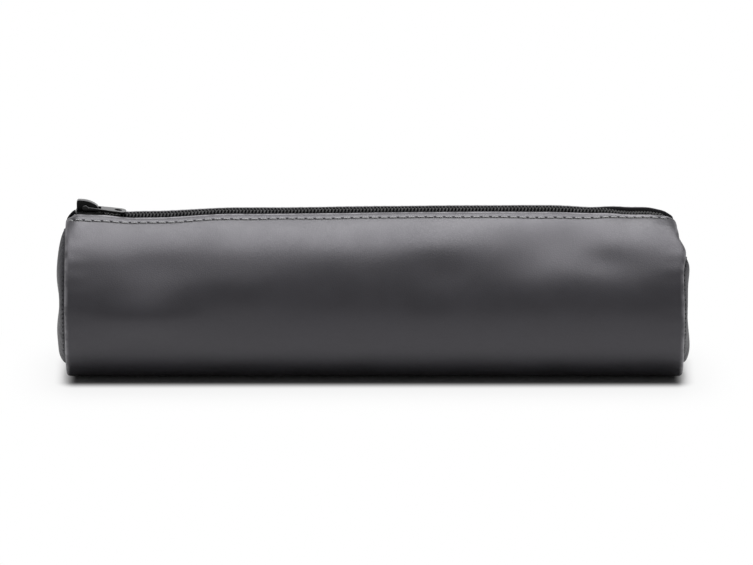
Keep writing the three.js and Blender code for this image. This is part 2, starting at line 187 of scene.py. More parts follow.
# Half of the gap between the lips, along the tube
LIP_GAPS = (
    (-98.7, 2.4), (-95.8, 4.3), (-86, 4.3), (-76, 4.1), (60, 4.1), (77, 3.85), (90, 3.75), (98.7, 2.2),
)
# How far the slider and the sewn corners push each lip up or down, along the tube
FRONT_LIFTS = (
    (-98.7, 1.2), (-94.8, 1.65), (-91.5, 1.4), (-87.5, 1.3), (-77, 0.0),
    (62, 0.0), (78, 0.15), (92, 0.15), (98.7, 0.0),
)
REAR_LIFTS = ((-98, -1.9), (-88, 0.0), (68, 0.0), (80, 0.6), (94, 0.9), (98.7, 0.5))
# How far the front lip's edge falls to its sewn left corner
CORNER_FALL = ((-98.7, 1.4), (-94.8, 0.0))
# Rise of the tape, where it is drawn up to the end seams and stops at the slider
TAPE_LIFTS = (
    (-98.6, 1.1), (TONGUE_STOP[0], 2.62), (TONGUE_STOP[1], 0.0), (92.5, 0.0), (95.4, 1.7), (98.5, 1.2),
)
# How far the zip dips under the lips, and the slope across the coil, along the tube
ZIP_DIP = ((70, 0.0), (79.5, 0.32), (91, 0.2), (95.4, 0.0))
COIL_TILT = ((-86, 0.0), (-76, 0.2), (70, 0.2), (79.5, 0.0))
# Rise of the top, along the tube
TOP_RISE = ((-88, 0.0), (-72, 0.3), (-44, 1.5), (36, 2.25), (56, 2.25), (72, 1.6), (84, 1.0))
# How far the zip's ends drop, along the tube, and the angle over which the drop fades
END_DROPS = (((-98.5, 0.5), (-94.5, 0.0)), ((89, 0.0), (98, 1.1)), ((95.5, 0.0), (98.7, 1.0)))
DROP_SPAN = 24.0
# How far the right end leans in: at its middle, and by the angle from the top at its rim
RIGHT_LEAN = 0.6
RIGHT_RIM_LEAN = (
    (-110, 0.4), (-60, 2.2), (-12, 3.4), (16, 2.3), (30, 1.8), (45, -0.3), (60, 0.5), (90, 0.2),
)
# Share of the lean along the tube, and share of the rim's lean by the distance from the axis
LEAN_ALONG = ((70, 0.0), (98, 1.0))
LEAN_OUT = ((6, 0.0), (20, 1.0))
# Share of the soft shape by height: the base that bears on the ground keeps its form
SOFT_ABOVE = ((2, 0.0), (11, 1.0))
# Each soft hollow or swelling: place along the tube, angle, height, half length, half angle
HOLLOWS = (
    (0, -17, -0.55, 400, 11),
    (-70, 56, -1.1, 19, 17),
    (-73, 92, 2.0, 15, 14),
    (-45, 74, 0.7, 15, 13),
    (-24, 38, 0.3, 18, 14),
    (20, 62, -1.1, 16, 17),
    (57, 36, -1.3, 17, 16),
    (51, 54, -1.5, 17, 18),
    (82, 56, -0.9, 14, 18),
    (72, 52, -0.75, 9, 13),
    (-92, 62, -0.7, 9, 18),
    (-8, -60, 0.8, 26, 22),
    (46, -84, -0.8, 22, 18),
    (-55, -70, -0.8, 20, 20),
    (78, -48, -0.7, 12, 15),
    (99, -26, -1.7, 9, 18),
)
# Fine unevenness of the leather: ripples along the tube, and puckers round the rims
RIPPLE = 0.05
RIPPLE_LENGTHS = (6.1, 23.0)
RIPPLE_TURNS = (3, 5)
PUCKER = 0.03
PUCKERS = 31
PUCKER_PLACE = 96.0
PUCKER_REACH = 4.0


def tube(x, radius, angle):
    """Point of the tube: x along it, radius times minus the sine of angle in depth, and the
    axis height plus radius times the cosine of angle in height. Below the level where its
    layer meets the ground the height eases into that level along a hyperbola."""
    x, radius, angle = np.broadcast_arrays(x, radius, angle)
    ground = RADIUS - radius
    above = AXIS + radius * np.cos(angle) - ground
    height = ground + (above + np.hypot(above, GROUND_EASE)) / 2 - GROUND_SINK
    return np.stack([x, -radius * np.sin(angle), np.maximum(height, ground)], -1)


def settled(points):
    """Soft shape of the used case, as one move of space for every soft piece. Each hollow
    scales the distance from the axis by the product of a bell along the tube and a bell in
    angle. Ripples add the product of two sines of place and angle, and puckers a bell along
    the tube times a sine round it. The top is arched by a chain of eases along the tube. The
    ends of the zip drop by eases along the tube and a bell in angle. The right end leans in
    by an ease along the tube, times a chain of eases in angle at the rim, which fades to one
    value in the middle."""
    x, y, z = np.moveaxis(points, -1, 0)
    turn = np.arctan2(-y, z - AXIS)
    angle = np.degrees(turn)
    swell = sum(
        height * bell((x - at) / length) * bell((angle - place) / span)
        for at, place, height, length, span in HOLLOWS
    )
    waves = [
        np.sin(x / length + count * turn) for length, count in zip(RIPPLE_LENGTHS, RIPPLE_TURNS)
    ]
    ripple = RIPPLE * waves[0] * waves[1]
    near_rim = bell((np.abs(x) - PUCKER_PLACE) / PUCKER_REACH)
    pucker = PUCKER * near_rim * np.sin(PUCKERS * turn + np.sign(x))
    grow = 1 + (swell + ripple + pucker) * eased(z, SOFT_ABOVE) / RADIUS
    y = y * grow
    z = AXIS + (z - AXIS) * grow
    rise = smooth((z - AXIS) / RADIUS) * eased(x, TOP_RISE)
    drop = bell(angle / DROP_SPAN) * sum(eased(x, knots) for knots in END_DROPS)
    rim = eased(np.hypot(y, z - AXIS), LEAN_OUT)
    lean = RIGHT_LEAN + (eased(angle, RIGHT_RIM_LEAN) - RIGHT_LEAN) * rim
    return np.stack([x - lean * eased(x, LEAN_ALONG), y, z + rise - drop], -1)


def mouth(x):
    """How far the zip lets a lip go at x. The lens is one less the square of the place in the
    mouth, and its square over itself plus a small number rounds its two ends."""
    place = (2 * x - MOUTH_FROM - MOUTH_TO) / (MOUTH_TO - MOUTH_FROM)
    lens = np.clip(1 - place * place, 0, 1)
    return (1 + MOUTH_EASE) * lens * lens / (lens + MOUTH_EASE)


def fold_share(x, angle):
    """Share of the lip's turn at x and angle: the mouth's lens times an ease in angle from
    the fold line to the loose part."""
    return mouth(x) * smooth((HINGE_ANGLE - np.abs(np.degrees(angle))) / (HINGE_ANGLE - LOOSE_ANGLE))


def from_edge(x, arc):
    """Angle of a point at arc from the lip's edge. The edge moves towards the coil by what
    the gap there lacks of the mouth's width, and the move eases out past the seam."""
    close = MOUTH_HALF_WIDTH - eased(x, LIP_GAPS)
    return LIP_EDGE + (arc - close * smooth(1 - arc / LIP_CLOSE_REACH)) / RADIUS


def lip_lift(side, x, arc):
    """Rise of a lip: a chain of eases along the tube times a bell from the edge. The front
    lip's is less by the fall to its left corner, an ease times a shorter bell."""
    if side < 0:
        return eased(x, REAR_LIFTS) * bell(arc / LIP_LIFT_REACH)
    fall = eased(x, CORNER_FALL) * bell(arc / CORNER_REACH)
    return eased(x, FRONT_LIFTS) * bell(arc / LIP_LIFT_REACH) - fall


def seam_sway(x):
    """Sideways sway of the row of stitches: a sine along the tube."""
    return STITCH_SWAY * np.sin(TURN * x / SWAY_LENGTH)


def length_run(first, second):
    """Length run along a path given by two coordinates: the running sum of its steps."""
    return np.concatenate([[0], np.cumsum(np.hypot(np.diff(first), np.diff(second)))])


def grid(rows, columns, wrap=False):
    """Quads of a grid of points, row by row, as point numbers; wrap joins the last column to
    the first. The second array numbers the same corners on a grid that isn't joined."""
    wide = columns + wrap
    i, j = (a.ravel() for a in np.meshgrid(np.arange(rows - 1), np.arange(wide - 1), indexing="ij"))
    row = np.stack([i, i + 1, i + 1, i], 1)
    column = np.stack([j, j, j + 1, j + 1], 1)
    return row * columns + column % columns, row * wide + column


def lid(ring):
    """Quads that close a ring with an even number of points: a fan from its first point."""
    first = np.arange(1, len(ring) - 1, 2)
    fan = np.stack([np.zeros_like(first), first, first + 1, first + 2], 1)
    return ring[fan]


def shell(outer, inner, lay):
    """Sheet with two faces: the outer grid of points, the inner grid turned over, and a wall
    of quads round the border. lay gives each grid point's place on the flat sheet."""
    rows, columns = outer.shape[:2]
    count = rows * columns
    face, corner = grid(rows, columns)
    number = np.arange(count).reshape(rows, columns)
    edge = np.concatenate([number[0, :-1], number[:-1, -1], number[-1, :0:-1], number[:0:-1, 0]])
    ahead = np.roll(edge, -1)
    wall = np.stack([edge, ahead, ahead + count, edge + count], 1)
    points = np.concatenate([outer.reshape(-1, 3), inner.reshape(-1, 3)])
    faces = np.concatenate([face, face[:, ::-1] + count, wall])
    corners = np.concatenate([corner, corner[:, ::-1], wall % count])
    return points, faces, lay.reshape(-1, 2)[corners]


def round_shell(outer, inner, lay):
    """Round sheet with two faces, whose rows are rings from the middle out: the joined outer
    grid, the joined inner grid turned over, a wall at the rim and a lid on each small middle
    ring. lay has one more column than the rings, and gives the place on the flat sheet."""
    rows, columns = outer.shape[:2]
    count = rows * columns
    face, corner = grid(rows, columns, wrap=True)
    number = np.arange(count).reshape(rows, columns)
    edge = number[-1]
    ahead = np.roll(edge, -1)
    wall = np.stack([edge, edge + count, ahead + count, ahead], 1)
    middle = lid(number[0])
    points = np.concatenate([outer.reshape(-1, 3), inner.reshape(-1, 3)])
    faces = np.concatenate([face, face[:, ::-1] + count, wall, middle, middle[:, ::-1] + count])
    flat = lay.reshape(-1, 2)
    loose = np.zeros((len(wall) + 2 * len(middle), 4, 2))
    return points, faces, np.concatenate([flat[corner], flat[corner[:, ::-1]], loose])


def disc_lay(reach, sides):
    """Places on a flat disc: reach from the middle times the cosine and sine of each turn."""
    around = np.arange(sides + 1) * TURN / sides
    return np.stack([reach * np.cos(around), reach * np.sin(around)], -1) * MM


def strands(paths, upright, half_width, half_height, sides):
    """Threads: on each path an ellipse of sides points is carried square to the path, its
    height along upright made square to the path, and both ends are closed. The thread's
    pattern runs along its length and round it."""
    count, stations = paths.shape[:2]
    ahead = np.gradient(paths, axis=1)
    ahead /= np.linalg.norm(ahead, axis=-1, keepdims=True)
    across = np.cross(ahead, np.broadcast_to(upright, paths.shape))
    across /= np.linalg.norm(across, axis=-1, keepdims=True)
    up = np.cross(across, ahead)
    turn = np.arange(sides) * TURN / sides
    ring = (
        half_width * np.cos(turn)[:, None] * across[:, :, None]
        + half_height * np.sin(turn)[:, None] * up[:, :, None]
    )
    points = paths[:, :, None] + ring
    face, corner = grid(stations, sides, wrap=True)
    start = lid(np.arange(sides))
    ends = np.concatenate([start[:, ::-1], start + (stations - 1) * sides])
    one = np.concatenate([face, ends])
    step = np.linalg.norm(np.diff(paths, axis=1), axis=-1)
    length = np.concatenate([np.zeros((count, 1)), np.cumsum(step, 1)], 1)
    lay = np.stack(
        np.broadcast_arrays(length[:, :, None] * MM, np.arange(sides + 1) / sides), -1
    ).reshape(count, -1, 2)
    flat = np.concatenate([lay[:, corner], np.zeros((count, len(ends), 4, 2))], 1)
    faces = one[None] + (np.arange(count) * stations * sides)[:, None, None]
    return points.reshape(-1, 3), faces.reshape(-1, 4), flat.reshape(-1, 4, 2)


def piece(name, skin, finish):
    """Mesh object from a skin in millimetres. The volume is the sum over triangles of a sixth
    of the triple product of their corners, and a skin with a negative one is turned over."""
    points, faces, lay = skin
    a, b, c, d = (points[faces[:, k]] for k in range(4))
    volume = (a * np.cross(b, c)).sum() + (a * np.cross(c, d)).sum()
    if volume < 0:
        faces, lay = faces[:, ::-1], lay[:, ::-1]
    mesh = bpy.data.meshes.new(name)
    mesh.from_pydata((points * MM).tolist(), [], faces.tolist())
    flat = np.ascontiguousarray(lay, dtype=np.float32)
    mesh.uv_layers.new(name="lay").data.foreach_set("uv", flat.ravel())
    mesh.polygons.foreach_set("use_smooth", np.ones(len(faces), dtype=bool))
    mesh.set_sharp_from_angle(angle=SHEET_SHARP)
    mesh.materials.append(finish)
    made = bpy.data.objects.new(name, mesh)
    bpy.context.scene.collection.objects.link(made)
    return made


def bend_with_lip(made):
    """Bakes the piece's transform into its mesh; the piece does not follow the lip."""
    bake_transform(made)


# Finishes


def put(tree, kind, inputs=None, **settings):
    """New shader node: settings are its properties, and inputs its values or links."""
    made = tree.nodes.new("ShaderNode" + kind)
    for key, value in settings.items():
        setattr(made, key, value)
    for key, value in (inputs or {}).items():
        if isinstance(value, bpy.types.NodeSocket):
            tree.links.new(value, made.inputs[key])
        else:
            made.inputs[key].default_value = value
    return made


def sum_of(tree, operation, *values):
    """Result of one math node."""
    return put(tree, "Math", dict(enumerate(values)), operation=operation).outputs[0]


def vector_of(tree, operation, *values):
    """Vector math node."""
    return put(tree, "VectorMath", dict(enumerate(values)), operation=operation).outputs


def ramp(tree, value, low, high, to_low=0.0, to_high=1.0):
    """Value eased from to_low at low to to_high at high."""
    return put(
        tree, "MapRange", {0: value, 1: low, 2: high, 3: to_low, 4: to_high},
        interpolation_type="SMOOTHSTEP",
    ).outputs[0]


def fade(tree, length, span, to_low=1.0, to_high=0.0):
    """Value eased with a length, over a span given in millimetres."""
    return ramp(tree, length, span[0] * MM, span[1] * MM, to_low, to_high)


def noise(tree, place, scale, detail, roughness=0.5):
    """Value of a noise texture at place."""
    inputs = {"Vector": place, "Scale": scale, "Detail": detail, "Roughness": roughness}
    return put(tree, "TexNoise", inputs).outputs[0]


def streaks(tree, place, scales, detail):
    """Value of a noise drawn out along x: each axis of the place has its own scale."""
    drawn = put(tree, "Mapping", {"Vector": place, "Scale": scales}).outputs[0]
    return noise(tree, drawn, 1.0, detail)


def blend_of(tree, share, first, second):
    """Colour between first and second."""
    made = put(tree, "Mix", {0: share, 6: first, 7: second}, data_type="RGBA")
    return made.outputs[2]


def group(name, inputs, outputs):
    """Empty shader node group with its named inputs and outputs."""
    tree = bpy.data.node_groups.new(name, "ShaderNodeTree")
    for key, kind in inputs.items():
        tree.interface.new_socket(key, in_out="INPUT", socket_type="NodeSocket" + kind)
    for key in outputs:
        tree.interface.new_socket(key, in_out="OUTPUT", socket_type="NodeSocketFloat")
    return tree, tree.nodes.new("NodeGroupInput").outputs, tree.nodes.new("NodeGroupOutput").inputs


PORES = 1500.0
PORE_EDGE = 0.22
FINE_PER_PORE = 1.7
FINE_SHARE = 0.6
DRIFT_SCALE = 62.0
YARN_SCALE = 900.0
YARN_SHARE = 0.35
PLIES = 2.0


def grain_group():
    """Leather grain: the distance to the edges of small cells for the pores, a fine noise on
    top of it, and a broad noise for the tone."""
    sockets = {"Place": "Vector", "Pores": "Float"}
    tree, given, wanted = group("leather_grain", sockets, ("Height", "Tone", "Pore"))
    place, pores = given["Place"], given["Pores"]
    cells = put(tree, "TexVoronoi", {"Vector": place, "Scale": pores}, feature="DISTANCE_TO_EDGE")
    pore = ramp(tree, cells.outputs["Distance"], 0.0, PORE_EDGE, 1.0, 0.0)
    fine = noise(tree, place, sum_of(tree, "MULTIPLY", pores, FINE_PER_PORE), 3.0)
    drift = noise(tree, place, DRIFT_SCALE, 4.0, 0.6)
    rise = sum_of(tree, "MULTIPLY_ADD", fine, FINE_SHARE, sum_of(tree, "SUBTRACT", 1.0, pore))
    tree.links.new(rise, wanted["Height"])
    tree.links.new(ramp(tree, drift, 0.3, 0.7), wanted["Tone"])
    tree.links.new(pore, wanted["Pore"])
    return tree


def weave_group():
    """Plain weave: the product of a sine across the threads and a sine along them, so that
    each thread passes over and under in turn, with a noise for the yarn's unevenness."""
    sockets = {"Place": "Vector", "Thread": "Float"}
    tree, given, wanted = group("plain_weave", sockets, ("Height", "Gap"))
    flat = put(tree, "SeparateXYZ", {0: given["Place"]}).outputs
    counts = [sum_of(tree, "DIVIDE", flat[k], given["Thread"]) for k in (0, 1)]
    waves = [sum_of(tree, "SINE", sum_of(tree, "MULTIPLY", count, math.pi)) for count in counts]
    over = sum_of(tree, "ABSOLUTE", sum_of(tree, "MULTIPLY", *waves))
    yarn = noise(tree, given["Place"], YARN_SCALE, 2.0)
    height = sum_of(tree, "MULTIPLY_ADD", yarn, YARN_SHARE, over)
    tree.links.new(height, wanted["Height"])
    tree.links.new(ramp(tree, height, 0.1, 0.55, 1.0, 0.0), wanted["Gap"])
    return tree


def twist_group():
    """Twisted thread: a sine of the place along the thread plus turns round it."""
    sockets = {"Place": "Vector", "Lay": "Float"}
    tree, given, wanted = group("thread_twist", sockets, ("Height", "Hollow"))
    flat = put(tree, "SeparateXYZ", {0: given["Place"]}).outputs
    along = sum_of(tree, "DIVIDE", flat[0], given["Lay"])
    phase = sum_of(tree, "MULTIPLY", sum_of(tree, "MULTIPLY_ADD", flat[1], PLIES, along), TURN)
    wave = sum_of(tree, "MULTIPLY_ADD", sum_of(tree, "SINE", phase), 0.5, 0.5)
    tree.links.new(wave, wanted["Height"])
    tree.links.new(ramp(tree, wave, 0.0, 0.5, 1.0, 0.0), wanted["Hollow"])
    return tree


GRAIN = grain_group()
WEAVE = weave_group()
TWIST = twist_group()


def new_finish(name, **constants):
    """Material with a Principled shader whose plain values are set on its own sockets."""
    made = bpy.data.materials.new(name)
    made.use_nodes = True
    tree = made.node_tree
    shader = tree.nodes["Principled BSDF"]
    for key, value in constants.items():
        shader.inputs[key.replace("_", " ")].default_value = value
    return made, tree, shader


def placed(tree, source, which):
    """Group node set on the given coordinates."""
    made = tree.nodes.new("ShaderNodeGroup")
    made.node_tree = which
    tree.links.new(source, made.inputs["Place"])
    return made


def relief(tree, shader, height, strength, depth):
    """Bump on the shader's normal."""
    made = put(tree, "Bump", {"Strength": strength, "Distance": depth * MM, "Height": height})
    tree.links.new(made.outputs[0], shader.inputs["Normal"])


# Each pair of tones goes from dark to light
LEATHER_TONES = ((0.0126, 0.0122, 0.0148, 1), (0.0184, 0.0178, 0.0214, 1))
# The discs' tones are a lighter copy of the panel's leather: painted sheen in place of the reflection
# their low shine leaves out.
DISC_TONES_WITH_PAINTED_SHEEN = ((0.034, 0.033, 0.039, 1), (0.05, 0.049, 0.057, 1))
# In the four cloth and thread pairs below, the dark tone is painted shade between threads and in the
# hollows between plies.
TAPE_TONES = ((0.002, 0.002, 0.0025, 1), (0.008, 0.008, 0.009, 1))
LINING_TONES = ((0.018, 0.018, 0.021, 1), (0.05, 0.051, 0.056, 1))
TOP_THREAD_TONES = ((0.2, 0.2, 0.205, 1), (0.4, 0.4, 0.41, 1))
SEAM_THREAD_TONES = ((0.008, 0.008, 0.009, 1), (0.03, 0.03, 0.032, 1))
NYLON_TONES = ((0.016, 0.016, 0.017, 1), (0.045, 0.045, 0.047, 1))
LACQUER_TONES = ((0.004, 0.004, 0.0044, 1), (0.02, 0.02, 0.021, 1))
STEEL_TONES = ((0.35, 0.35, 0.36, 1), (0.6, 0.6, 0.61, 1))
# Lighter tone of rims and lip edges: rubbed wear plus a painted highlight.
LEATHER_WORN_AND_HIGHLIT = (0.27, 0.263, 0.28, 1)
# Near black: black dye plus painted shade on the lips' cut edges, and painted shade in the disc seam's
# groove.
LEATHER_DYE_AND_SHADE = (0.007, 0.007, 0.008, 1)
LEATHER_SHINE = (0.96, 0.935, 1.0, 1)
# Needle holes: painted shade in the holes.
LEATHER_HOLE_SHADE = (0.004, 0.004, 0.005, 1)
# Painted sheen: grey mixed into lacquer seen edge on, standing in for its reflection.
LACQUER_PAINTED_SHEEN = (0.24, 0.24, 0.245, 1)

# Spans over which the leather's marks ease, in millimetres, and as parts of a stitch
HOLE_HALF_WIDTH = (0.22, 0.5)
HOLE_HALF_PART = (0.09, 0.2)
RIM_WEAR_AND_HIGHLIGHT_RISE = (RIM - 1.5, RIM + 0.2)
RIM_WEAR_AND_HIGHLIGHT_FALL = (RIM + 0.5, RIM + 1.8)
LIP_WEAR_AND_HIGHLIGHT = (0.8, 1.7)
CUT_EDGE = (0.08, 0.2)
# Span from the disc's middle over which painted shade darkens the seam's groove.
GROOVE_SHADE_REACH = (20.8, 22.4)


def needle_holes(tree, lay):
    """Mask of the needle holes: close to the stitch line, and close to the stitches' ends."""
    along = sum_of(tree, "DIVIDE", lay[0], STITCH_PITCH * MM)
    part = sum_of(tree, "ABSOLUTE", sum_of(tree, "SUBTRACT", sum_of(tree, "FRACT", along), 0.5))
    sway = sum_of(tree, "SINE", sum_of(tree, "MULTIPLY", lay[0], TURN / (SWAY_LENGTH * MM)))
    line = sum_of(tree, "MULTIPLY_ADD", sway, -STITCH_SWAY * MM, lay[1])
    (start, wide), (stop, narrow) = STITCH_LINE
    seam = fade(tree, lay[0], (start, stop), wide * MM, narrow * MM)
    off = sum_of(tree, "ABSOLUTE", sum_of(tree, "SUBTRACT", line, seam))
    near_line = fade(tree, off, HOLE_HALF_WIDTH)
    near_end = ramp(tree, part, *HOLE_HALF_PART, 1.0, 0.0)
    return sum_of(tree, "MULTIPLY", near_line, near_end)


def worn_and_highlit_edges(tree, place, lay):
    """Mask of the rims and lips that are lighter, partly as rubbed wear and partly as a painted
    highlight along their edges, broken up by a noise.
    """
    end = sum_of(tree, "ABSOLUTE", lay[0])
    rise = fade(tree, end, RIM_WEAR_AND_HIGHLIGHT_RISE, 0.0, 1.0)
    rim = sum_of(tree, "MULTIPLY", rise, fade(tree, end, RIM_WEAR_AND_HIGHLIGHT_FALL, 1.0, 0.1))
    either = sum_of(tree, "MAXIMUM", rim, fade(tree, lay[1], LIP_WEAR_AND_HIGHLIGHT))
    patchy = ramp(tree, noise(tree, place, 320.0, 4.0), 0.3, 0.65, 0.2, 0.9)
    return sum_of(tree, "MULTIPLY", either, patchy)


def leather(name, stitched, shine, tones):
    """Charcoal leather: fine pores and a broad drift of tone. On the stitched panel the rims
    and lips are lighter along their edges, partly rubbed wear and partly a painted highlight,
    the lips' cut edges are dyed black and darkened by painted shade, and a row of needle
    holes, painted dark as shade, lies between the stitches. On the discs painted shade darkens
    the groove along the seam."""
    made, tree, shader = new_finish(name, Specular_IOR_Level=shine, Specular_Tint=LEATHER_SHINE)
    place = put(tree, "TexCoord").outputs
    grain = placed(tree, place["Object"], GRAIN)
    grain.inputs["Pores"].default_value = PORES
    colour = blend_of(tree, grain.outputs["Tone"], *tones)
    rough = sum_of(tree, "MULTIPLY_ADD", grain.outputs["Tone"], 0.06, 0.37)
    rough = sum_of(tree, "MULTIPLY_ADD", grain.outputs["Pore"], 0.08, rough)
    height = sum_of(tree, "MULTIPLY", grain.outputs["Height"], 0.25)
    if stitched:
        lay = put(tree, "SeparateXYZ", {0: place["UV"]}).outputs
        hole = needle_holes(tree, lay)
        cut = fade(tree, lay[1], CUT_EDGE)
        # Rims and lip edges lighter: rubbed wear plus a painted highlight.
        colour = blend_of(tree, worn_and_highlit_edges(tree, place["Object"], lay), colour, LEATHER_WORN_AND_HIGHLIT)
        # Cut edges: black edge dye plus painted shade.
        colour = blend_of(tree, cut, colour, LEATHER_DYE_AND_SHADE)
        # Needle holes painted dark as shade; the bump sinks them too.
        colour = blend_of(tree, hole, colour, LEATHER_HOLE_SHADE)
        rough = sum_of(tree, "MULTIPLY_ADD", sum_of(tree, "MAXIMUM", hole, cut), 0.5, rough)
        height = sum_of(tree, "SUBTRACT", height, sum_of(tree, "MULTIPLY", hole, 3.0))
    else:
        # Painted shade in the groove along the disc seam.
        groove_shade = fade(tree, vector_of(tree, "LENGTH", place["UV"])["Value"], GROOVE_SHADE_REACH, 0.0, 0.85)
        colour = blend_of(tree, groove_shade, colour, LEATHER_DYE_AND_SHADE)
        rough = sum_of(tree, "MULTIPLY_ADD", groove_shade, 0.4, rough)
    tree.links.new(colour, shader.inputs["Base Color"])
    tree.links.new(rough, shader.inputs["Roughness"])
    relief(tree, shader, height, 0.6, 0.06)
    return made


def cloth(name, tones, thread, rough, shine):
    """Woven cloth: painted shade darkens it between the threads."""
    made, tree, shader = new_finish(name, Roughness=rough, Specular_IOR_Level=shine)
    weave = placed(tree, put(tree, "TexCoord").outputs["UV"], WEAVE)
    weave.inputs["Thread"].default_value = thread * MM
    dark, light = tones
    # Painted shade in the gaps between the threads.
    tree.links.new(blend_of(tree, weave.outputs["Gap"], light, dark), shader.inputs["Base Color"])
    relief(tree, shader, weave.outputs["Height"], 0.8, thread / 4)
    return made


def thread(name, tones, lay, rough):
    """Twisted sewing thread: painted shade darkens the hollows between its plies."""
    made, tree, shader = new_finish(name, Roughness=rough, Sheen_Weight=0.1)
    twist = placed(tree, put(tree, "TexCoord").outputs["UV"], TWIST)
    twist.inputs["Lay"].default_value = lay * MM
    dark, light = tones
    # Painted shade in the hollows between the plies.
    tree.links.new(blend_of(tree, twist.outputs["Hollow"], light, dark), shader.inputs["Base Color"])
    relief(tree, shader, twist.outputs["Height"], 0.9, 0.08)
    return made


def nylon(name):
    """Black nylon thread of the coil: smooth, with a patchy grey bloom."""
    made, tree, shader = new_finish(name, Specular_IOR_Level=0.8)
    bloom = noise(tree, put(tree, "TexCoord").outputs["Object"], 420.0, 3.0)
    share = ramp(tree, bloom, 0.35, 0.7)
    tree.links.new(blend_of(tree, share, *NYLON_TONES), shader.inputs["Base Color"])
    tree.links.new(ramp(tree, share, 0.0, 1.0, 0.22, 0.38), shader.inputs["Roughness"])
    relief(tree, shader, bloom, 0.2, 0.03)
    return made


def lacquer(name, shine, coat, bloom):
    """Gloss black lacquer on cast metal: fine orange peel, light scuffs, dulled patches and a
    painted grey sheen on faces seen edge on, standing in for their reflection, as strong as bloom."""
    made, tree, shader = new_finish(name, Specular_IOR_Level=shine, Coat_Weight=coat)
    place = put(tree, "TexCoord").outputs["Object"]
    patch = noise(tree, place, 260.0, 5.0, 0.65)
    scuff = ramp(tree, streaks(tree, place, (300, 2600, 2600), 2.0), 0.62, 0.8)
    colour = blend_of(tree, scuff, *LACQUER_TONES)
    # Painted sheen on faces seen edge on.
    painted_sheen = ramp(tree, put(tree, "LayerWeight").outputs["Facing"], 0.55, 0.85, 0.0, bloom)
    tree.links.new(blend_of(tree, painted_sheen, colour, LACQUER_PAINTED_SHEEN), shader.inputs["Base Color"])
    tree.links.new(ramp(tree, patch, 0.3, 0.7, 0.16, 0.34), shader.inputs["Roughness"])
    relief(tree, shader, patch, 0.15, 0.05)
    return made


def steel(name):
    """Rolled spring steel: fine streaks along the strip in tone and roughness."""
    made, tree, shader = new_finish(name, Metallic=1.0)
    streak = streaks(tree, put(tree, "TexCoord").outputs["Object"], (200, 6000, 6000), 3.0)
    tree.links.new(blend_of(tree, streak, *STEEL_TONES), shader.inputs["Base Color"])
    tree.links.new(ramp(tree, streak, 0.3, 0.7, 0.2, 0.4), shader.inputs["Roughness"])
    return made


PANEL_LEATHER = leather("charcoal_leather_stitched", True, 0.7, LEATHER_TONES)
# Disc leather: low shine, with painted sheen in its lighter tones.
END_LEATHER = leather("charcoal_leather_plain", False, 0.12, DISC_TONES_WITH_PAINTED_SHEEN)
TAPE_CLOTH = cloth("zip_tape_cloth", TAPE_TONES, 0.32, 0.9, 0.0)
LINING_CLOTH = cloth("lining_cloth", LINING_TONES, 0.4, 0.7, 0.15)
TOP_THREAD = thread("grey_top_thread", TOP_THREAD_TONES, 0.7, 0.55)
SEAM_THREAD = thread("dark_seam_thread", SEAM_THREAD_TONES, 0.7, 0.6)
COIL_NYLON = nylon("black_nylon")
# The last value of each lacquer is the strength of its painted edge-on sheen.
DULL_LACQUER = lacquer("dull_black_lacquer", 0.1, 0.0, 0.05)
BLACK_LACQUER = lacquer("black_lacquer", 0.15, 0.0, 1.0)
POLISHED_LACQUER = lacquer("polished_black_lacquer", 0.2, 0.3, 1.0)
SPRING_STEEL = steel("spring_steel")


# Leather


def panel_path():
    """Leather from hem to hem as outer places, facings and thickness: along the turned-in
    hem, round half of a squared circle at the left rim, along the wall, and the same
    mirrored. The squared circle has powers of the sine and cosine as its places, and its
    facing has other powers of them."""
    turn = np.linspace(0, math.pi, FOLD_POINTS)
    sine, cosine = np.sin(turn).clip(0), np.cos(turn)
    out = sine ** (2 / FOLD_SQUARENESS)
    up = np.sign(cosine) * np.abs(cosine) ** (2 / FOLD_SQUARENESS)
    face_out = out ** (FOLD_SQUARENESS - 1)
    face_up = np.sign(cosine) * np.abs(up) ** (FOLD_SQUARENESS - 1)
    face = np.hypot(face_out, face_up)
    hem = np.linspace(HEM_END, RIM - FOLD, HEM_POINTS + 1)[:-1]
    level = np.ones(HEM_POINTS)
    wall = np.linspace(FOLD - RIM, RIM - FOLD, WALL_STEPS + 1)[1:-1]
    flat = np.ones(len(wall))
    x = np.concatenate([-hem, FOLD - RIM - FOLD * out])
    radius = np.concatenate([(RADIUS - 2 * FOLD) * level, RADIUS - FOLD - FOLD * up])
    facing_x = np.concatenate([0 * level, -face_out / face])
    facing_r = np.concatenate([-level, -face_up / face])
    thick = np.concatenate([SKIVED * level, SKIVED + (LEATHER - SKIVED) * turn / math.pi])
    return (
        np.concatenate([x, wall, -x[::-1]]),
        np.concatenate([radius, RADIUS * flat, radius[::-1]]),
        np.concatenate([facing_x, 0 * flat, -facing_x[::-1]]),
        np.concatenate([facing_r, flat, facing_r[::-1]]),
        np.concatenate([thick, LEATHER * flat, thick[::-1]]),
    )


